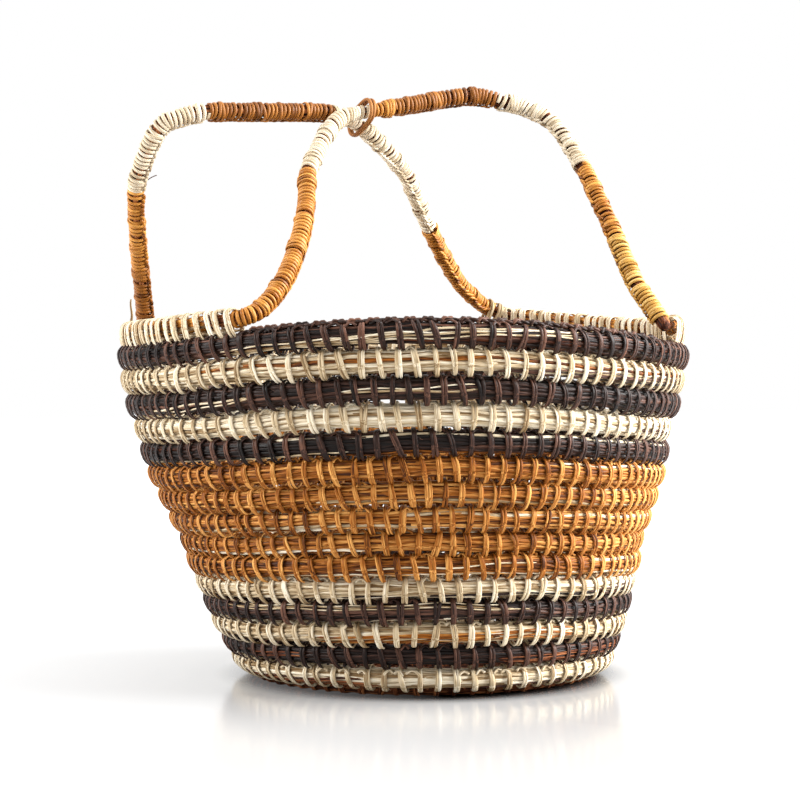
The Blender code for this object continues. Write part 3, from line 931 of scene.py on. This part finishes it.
def make_handle(side, line, lead, colours, seed):
    """A hoop: bare rope core, and one piece of wraps for each colour.

    The lead is the number of points that the line has before the handle's own first one.
    """
    gap = np.linalg.norm(line - KEEPER_MIDDLE, axis=1)
    squeeze = KEEPER_SQUEEZE * smooth(2 - 1.5 * gap / KEEPER_REACH)
    track = Track(line, HOOP_CENTRE - line, ROPE_RADIUS - squeeze)
    # Painted shade: the bare core shows only between the wraps and is dark so the gaps look
    # shaded
    core = Piece(f"{side}_handle_core", (RUST, UMBER), seed)
    inner = Track(line, HOOP_CENTRE - line, ROPE_RADIUS - CORE_SINK - squeeze)
    bundle(core, inner, 8, 0, None, (1,))
    core.build([f"{side}_handle"])

    def distance(number):
        return float(np.interp((number + lead) * HANDLE_STEPS, np.arange(len(line)),
                               track.distance))

    used = {shade for _, _, shade in colours}
    for index, (colour, material, slot) in enumerate(WRAP_COLOURS):
        if index not in used:
            continue
        piece = Piece(f"{side}_handle_{colour}_wraps", (material,), seed + index + 1)
        for first, last, shade in colours:
            if shade == index:
                for add in (wind, add_spare_turns, add_ridge):
                    add(piece, track, distance(first), distance(last))
        piece.build([f"{side}_handle"])


def handle_lines():
    """Centre lines of the front and the back handle, from the left foot to the right foot."""
    front = np.concatenate([foot_run(LEFT_RIM_ROPE[1], FOOT_RUN, LEFT_ROPE_RISE),
                            np.array(FRONT_HANDLE) * MM])
    back = np.concatenate([np.array(BACK_HANDLE) * MM,
                           foot_run(RIGHT_RIM_ROPE[1], FOOT_RUN, RIGHT_ROPE_RISE)[::-1]])
    return catmull_rom(front, HANDLE_STEPS), catmull_rom(back, HANDLE_STEPS)


ROPE_END_RUN = 18 * MM
FILLING_END_RUN = 14 * MM
LASHING_SPACING = 1.75
LASHING_WIDTHS = (0.95, 1.2)
LASHING_THICK = 0.6 * MM
LASHING_GAPS = (2.2, 5.4)
LASHING_BITES = (3.2, 4.6)
LASHING_HAIRS = 14


def rim_gap(line):
    """Height of the rim's top under a rope's line, and the gap between the two."""
    angles = np.unwrap(np.arctan2(line[:, 1], line[:, 0]))
    rim_top = level_line(TOP_COURSE, angles)[:, 2] + RIM_BUNDLE_RADIUS
    return rim_top, line[:, 2] - ROPE_RADIUS - rim_top


def make_rope_core(side, arc, line, seed):
    """The rope laid along the rim, and the pale filling in the gap under it."""
    rope_track = Track(arc, UP, ROPE_RADIUS)
    slim = 1 - 0.5 * smooth(1 - rope_track.distance / ROPE_END_RUN)
    core_track = Track(arc, UP, (ROPE_RADIUS - 0.3 * MM) * slim)
    rope = Piece(f"{side}_rope_core", (OCHRE, CREAM), seed)
    bundle(rope, core_track, 12, 0, None, (1, 1))
    rim_top, gap = rim_gap(line)
    under = line.copy()
    under[:, 2] = rim_top + gap / 2
    steps = Track(line, UP, ROPE_RADIUS).distance
    ends = smooth(steps / FILLING_END_RUN) * smooth((steps[-1] - steps) / FILLING_END_RUN)
    filling = Track(under, UP, (gap / 2 + 0.8 * MM) * (0.25 + 0.75 * ends))
    bundle(rope, filling, 9, 1, None, (0,))
    rope.build([f"{side}_rim_rope"])


def make_lashing(side, line, lean, seed):
    """Groups of two or three loops that tie the rope down to the rim."""
    _, gap = rim_gap(line)
    lashing = Piece(f"{side}_lashing_wraps", (CREAM, OCHRE), seed)
    rng = lashing.rng
    steps = Track(line, UP, ROPE_RADIUS).distance
    slim = 1 - 0.35 * smooth(1 - steps / ROPE_END_RUN)
    track = Track(line, UP, ROPE_RADIUS * slim)
    place = 1.5 * MM
    while place < track.length - 2 * MM:
        slant = rng.normal(lean, 0.6) * MM
        tone = rng.normal(0.6, 0.12)
        half = rng.uniform(*LASHING_WIDTHS) * MM
        strands = rng.integers(2, 4)
        below = (float(np.interp(place, track.distance, gap))
                 + rng.uniform(*LASHING_BITES) * MM)
        for strand in range(strands):
            step = (strand - (strands - 1) / 2) * LASHING_SPACING * half
            loop(lashing, track, place + step, slant + rng.normal(0, 0.35) * MM, half,
                 LASHING_THICK, rng.uniform(0.8, 1.5) * MM, below, 0,
                 tone + rng.normal(0, 0.07), lift=rng.uniform(0.7, 1.3) * MM, points=24)
        for _ in range(2):
            hook(lashing, track, place, 0, tone)
        place += strands * LASHING_SPACING * half + rng.uniform(*LASHING_GAPS) * MM
    hairs(lashing, track, LASHING_HAIRS, 0)
    lashing.build([f"{side}_lashing"])


def make_rim_rope(side, span, rise, foot, lean, seed):
    """The rope laid along the rim, which runs on into one handle's foot, and its lashing."""
    arc = rim_line(np.linspace(*span, 90), RIM_ROPE_CENTRE, rise)
    line = np.concatenate([arc, foot[1:]])
    make_rope_core(side, arc, line, seed)
    make_lashing(side, line, lean, seed + 1)


CANE_POINTS = 96
CANE_SPACING = 1.15
CANE_WAVER = 0.45
CANE_SECTION = (1.35 * MM, 1.15 * MM)
TAIL_RUN = 3.2 * MM
TAIL_RISE = 1.1 * MM


def make_keeper():
    """Two turns of split cane around both ropes where they cross."""
    across = KEEPER_BACK - KEEPER_FRONT
    across = across - across.dot(KEEPER_AXIS) * KEEPER_AXIS
    half = np.linalg.norm(across) / 2
    across = across / np.linalg.norm(across)
    upright = np.cross(across, KEEPER_AXIS)
    radius = ROPE_RADIUS + KEEPER_PLAY + KEEPER_CANE_RADIUS
    piece = Piece("keeper_cane", (CANE,), seed=90)
    turn = (TAU * np.arange(CANE_POINTS) / CANE_POINTS)[:, None]
    for offset, phase in ((-CANE_SPACING, 0.3), (CANE_SPACING, 0.3 + math.pi)):
        side = half * np.tanh(3 * np.cos(turn))
        path = (KEEPER_MIDDLE + across * (side + radius * np.cos(turn))
                + upright * radius * np.sin(turn)
                + KEEPER_AXIS * (offset + CANE_WAVER * np.sin(turn + phase)) * MM)
        normal = across * np.cos(turn) + upright * np.sin(turn)
        piece.strand(path, normal, *CANE_SECTION, sides=8, closed=True, tone=MIDDLE_TONE)
    share = np.linspace(0, 1, 9)[:, None]
    start = KEEPER_MIDDLE + upright * (radius - 0.2 * MM) + across * half * 0.5
    tail = start + KEEPER_AXIS * TAIL_RUN * share + upright * (TAIL_RISE * share ** 2)
    thinning = 1.1 - share[:, 0]
    piece.strand(tail, upright, 0.8 * MM * thinning, 0.6 * MM * thinning)
    piece.build(["keeper_ring"], body="keeper")


TWIG_ANGLE = 168 * DEGREE
TWIG_RUN = np.array((2, -3, 19)) * MM
TWIG_BOW = np.array((1.2, 0, 0)) * MM
END_CORNER = 4
END_RUN = np.array((9, -2, 6)) * MM
END_BOW = np.array((0, 0, 1)) * MM


def make_stray_fibres():
    """A pale twig left standing at the left lashing and a dark end on the back handle."""
    piece = Piece("stray_fibres", GRASS, seed=95)
    share = np.linspace(0, 1, 10)[:, None]
    foot = rim_line(np.array([TWIG_ANGLE]), RIM_ROPE_CENTRE + 1 * MM,
                    LEFT_ROPE_RISE + 4 * MM)[0]
    twig = foot + share * TWIG_RUN + np.sin(5 * share) * TWIG_BOW
    piece.strand(twig, np.array((0.0, 1.0, 0.1)), 0.9 * MM * (1.2 - share[:, 0] * 0.6),
                 0.6 * MM, colour=IN_CREAM, tone=0.3)
    corner = np.array(BACK_HANDLE[END_CORNER]) * MM + np.array((4, -4, 3)) * MM
    end = corner + share * END_RUN + np.sin(3 * share) * END_BOW
    piece.strand(end, UP, 0.5 * MM, 0.35 * MM, colour=IN_BLACK)
    piece.build()


# ---- studio and camera

CAMERA_DISTANCE = 1.614
CAMERA_HEIGHT = 0.226
CAMERA_AZIMUTH = -20 * DEGREE
CAMERA_TILT = 1.245 * DEGREE
CAMERA_SIDESTEP = -2.1 * MM
LENS = 103.5
SENSOR_WIDTH = 36

WHITE = (1, 1, 1, 1)
FILL_STRENGTH = 0.46
LIGHT_TARGET = (0, 0, 0.2)
# Softboxes: name, place, side length and power
SOFTBOXES = (("softbox_left", (-1.9, 0.25, 1.1), 1.4, 55),
             ("softbox_right", (1.85, -0.7, 1.15), 2.0, 200),
             ("softbox_top", (0, 0.6, 2.4), 2.0, 16))

FLOOR_HALF_SIDE = 6.0
FLOOR_DROP = 0.2 * MM
FLOOR_ROUGHNESS = 0.15
# The floor glows more with distance from a point to the right of the basket
GLOW_CENTRE = (0.22, -0.1, 0)
GLOW_START = 0.25
GLOW_END = 1.8
GLOW_POWER = 0.75
GLOW_STRENGTH = 0.8
# and its colour is painted dark under the basket as a painted contact shadow, and grey around it
SHADE_START = 0.118
SHADE_END = 0.15
SHADE_DARK = 0.04
SHADE_GREY = 0.47


def make_camera():
    """Camera at the photograph's viewing angle."""
    sine, cosine = math.sin(CAMERA_AZIMUTH), math.cos(CAMERA_AZIMUTH)
    camera = add_object("camera", bpy.data.cameras.new("camera"))
    right = Vector((cosine, sine, 0))
    place = Vector((sine * CAMERA_DISTANCE, -cosine * CAMERA_DISTANCE, CAMERA_HEIGHT))
    camera.location = place + right * CAMERA_SIDESTEP
    forward = Vector((-sine * math.cos(CAMERA_TILT), cosine * math.cos(CAMERA_TILT),
                      -math.sin(CAMERA_TILT)))
    camera.rotation_euler = forward.to_track_quat("-Z", "Y").to_euler()
    camera.data.lens = LENS
    camera.data.sensor_width = SENSOR_WIDTH
    bpy.context.scene.camera = camera


def make_softbox(name, place, side, power):
    """Square area light that faces the basket."""
    light = bpy.data.lights.new(name, "AREA")
    light.shape = "RECTANGLE"
    light.size, light.size_y = side, side
    light.energy = power
    box = add_object(name, light)
    box.location = place
    aim = Vector(LIGHT_TARGET) - Vector(place)
    box.rotation_euler = aim.to_track_quat("-Z", "Y").to_euler()


def make_world():
    """White to the camera and in reflections, and a softer white fill on everything else."""
    world = bpy.data.worlds.new("studio")
    world.use_nodes = True
    tree = world.node_tree
    link = tree.links.new
    backdrop = tree.nodes["Background"]
    backdrop.inputs["Color"].default_value = WHITE
    fill = add_node(tree, "Background", {"Color": WHITE, "Strength": FILL_STRENGTH})
    path = add_node(tree, "LightPath")
    seen = add_math(tree, "MAXIMUM", path.outputs["Is Camera Ray"],
                    path.outputs["Is Glossy Ray"])
    mix = add_node(tree, "MixShader")
    link(seen, mix.inputs["Fac"])
    link(fill.outputs["Background"], mix.inputs[1])
    link(backdrop.outputs["Background"], mix.inputs[2])
    link(mix.outputs["Shader"], tree.nodes["World Output"].inputs["Surface"])
    bpy.context.scene.world = world


def floor_material():
    """Pale floor with a glow growing outwards and a painted contact shadow under the basket."""
    material = bpy.data.materials.new("white_floor")
    material.use_nodes = True
    tree = material.node_tree
    link = tree.links.new
    shader = tree.nodes["Principled BSDF"]
    shader.inputs["Roughness"].default_value = FLOOR_ROUGHNESS
    shader.inputs["Emission Color"].default_value = WHITE
    place = add_node(tree, "TexCoord")
    away = add_node(tree, "VectorMath", {1: GLOW_CENTRE})
    away.operation = "DISTANCE"
    link(place.outputs["Object"], away.inputs[0])
    reach = add_node(tree, "MapRange", {"From Min": GLOW_START, "From Max": GLOW_END})
    link(away.outputs["Value"], reach.inputs["Value"])
    rise = add_math(tree, "POWER", reach.outputs["Result"], GLOW_POWER)
    link(add_math(tree, "MULTIPLY", rise, GLOW_STRENGTH), shader.inputs["Emission Strength"])
    span = add_node(tree, "VectorMath")
    span.operation = "LENGTH"
    link(place.outputs["Object"], span.inputs[0])
    # Painted contact shadow: the floor's colour is dark under the basket
    shade = add_node(tree, "MapRange",
                     {"From Min": SHADE_START, "From Max": SHADE_END,
                      "To Min": SHADE_DARK, "To Max": SHADE_GREY})
    shade.interpolation_type = "SMOOTHSTEP"
    link(span.outputs["Value"], shade.inputs["Value"])
    link(shade.outputs["Result"], shader.inputs["Base Color"])
    return material


def make_floor():
    """Square floor just under the basket."""
    size = FLOOR_HALF_SIDE
    mesh = bpy.data.meshes.new("floor")
    mesh.from_pydata([(-size, -size, 0), (size, -size, 0), (size, size, 0), (-size, size, 0)],
                     [], [(0, 1, 2, 3)])
    mesh.materials.append(floor_material())
    floor = add_object("floor", mesh)
    floor.location = (BASE_SHIFT[0], BASE_SHIFT[1], CAD_LOW.z - FLOOR_DROP)


def main():
    make_camera()
    make_base_start()
    for level in range(-BASE_COILS, TOP_COURSE + 1):
        make_course(level)
    make_rim_strand("front_rim_chain", FRONT_RIM_STRAND, "front_rim_strand", 70)
    make_rim_strand("back_rim_chain", BACK_RIM_STRAND, "back_rim_strand", 71)
    front, back = handle_lines()
    make_handle("front", front, 2, FRONT_COLOURS, 20)
    make_handle("back", back, 0, BACK_COLOURS, 30)
    left_foot = front[:int(LEFT_FOOT_END * HANDLE_STEPS)]
    right_foot = back[int(RIGHT_FOOT_START * HANDLE_STEPS):][::-1]
    make_rim_rope("left", LEFT_RIM_ROPE, LEFT_ROPE_RISE, left_foot, LEFT_LEAN, 40)
    make_rim_rope("right", RIGHT_RIM_ROPE, RIGHT_ROPE_RISE, right_foot, RIGHT_LEAN, 50)
    make_keeper()
    make_stray_fibres()
    make_world()
    make_floor()
    for softbox in SOFTBOXES:
        make_softbox(*softbox)
    bpy.context.scene.view_settings.view_transform = "Standard"


main()
